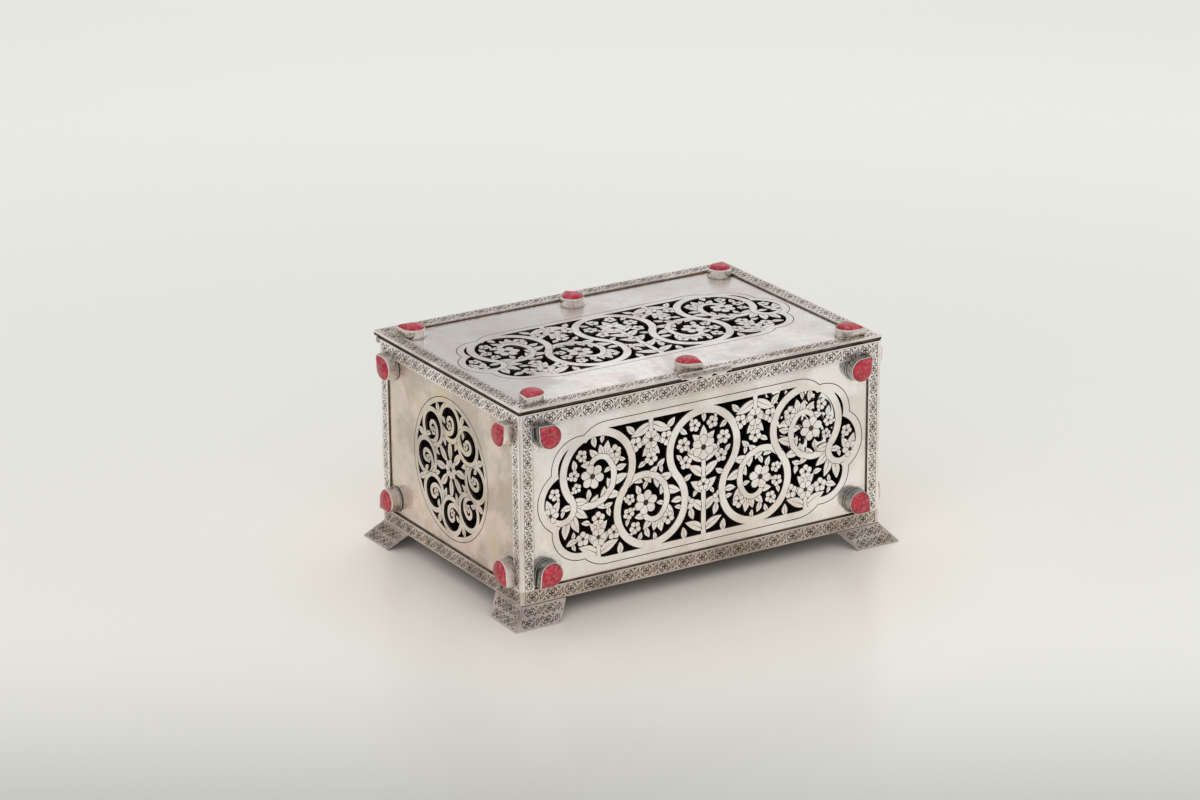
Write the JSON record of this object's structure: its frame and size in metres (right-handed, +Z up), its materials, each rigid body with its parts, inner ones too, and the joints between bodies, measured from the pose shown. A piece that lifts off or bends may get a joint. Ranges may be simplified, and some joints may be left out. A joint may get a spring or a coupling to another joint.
{
  "type": "jewellery casket",
  "caption": "Rectangular hinged casket of pierced silver sheet with scrolling openwork, stamped border strips, flared corner feet and red drop-shaped stones.",
  "frame": {"origin": "middle of the footprint on the floor", "axes": "+X to the casket's right as seen from the front, +Y to the back where the hinge is, +Z up"},
  "size_m": [0.2152, 0.1472, 0.1099],
  "materials": {
    "sheet_silver": "polished and lightly tarnished silver sheet",
    "stamped_silver": "stamped silver strip with dark tarnish in the pattern",
    "collet_silver": "bright polished silver",
    "hinge_silver": "worn silver tube",
    "red_stone": "glossy polished red stone"
  },
  "bodies": {
    "casket": {"back_bottom_strip": "stamped_silver", "back_left_foot": "stamped_silver", "back_left_upright": "stamped_silver", "back_panel": "sheet_silver", "back_right_foot": "stamped_silver", "back_right_upright": "stamped_silver", "back_top_strip": "stamped_silver", "base_plate": "sheet_silver", "body_collets": "collet_silver", "body_stones": "red_stone", "front_bottom_strip": "stamped_silver", "front_left_foot": "stamped_silver", "front_left_upright": "stamped_silver", "front_panel": "sheet_silver", "front_right_foot": "stamped_silver", "front_right_upright": "stamped_silver", "front_top_strip": "stamped_silver", "hinge_pin": "hinge_silver", "left_back_upright": "stamped_silver", "left_bottom_strip": "stamped_silver", "left_end_panel": "sheet_silver", "left_front_upright": "stamped_silver", "left_top_strip": "stamped_silver", "right_back_upright": "stamped_silver", "right_bottom_strip": "stamped_silver", "right_end_panel": "sheet_silver", "right_front_upright": "stamped_silver", "right_top_strip": "stamped_silver", "wall_knuckle_1": "hinge_silver", "wall_knuckle_3": "hinge_silver"},
    "lid": {"lid_back_strip": "stamped_silver", "lid_collets": "collet_silver", "lid_front_strip": "stamped_silver", "lid_knuckle_2": "hinge_silver", "lid_left_strip": "stamped_silver", "lid_plate": "sheet_silver", "lid_right_strip": "stamped_silver", "lid_stones": "red_stone", "thumb_tab": "stamped_silver"}
  },
  "joints": [
    {"name": "lid_hinge", "type": "hinge", "parent": "casket", "child": "lid", "pos_m": [0, 0.0678, 0.1007], "axis": [-1, 0, 0], "range_deg": [0, 140]}
  ]
}
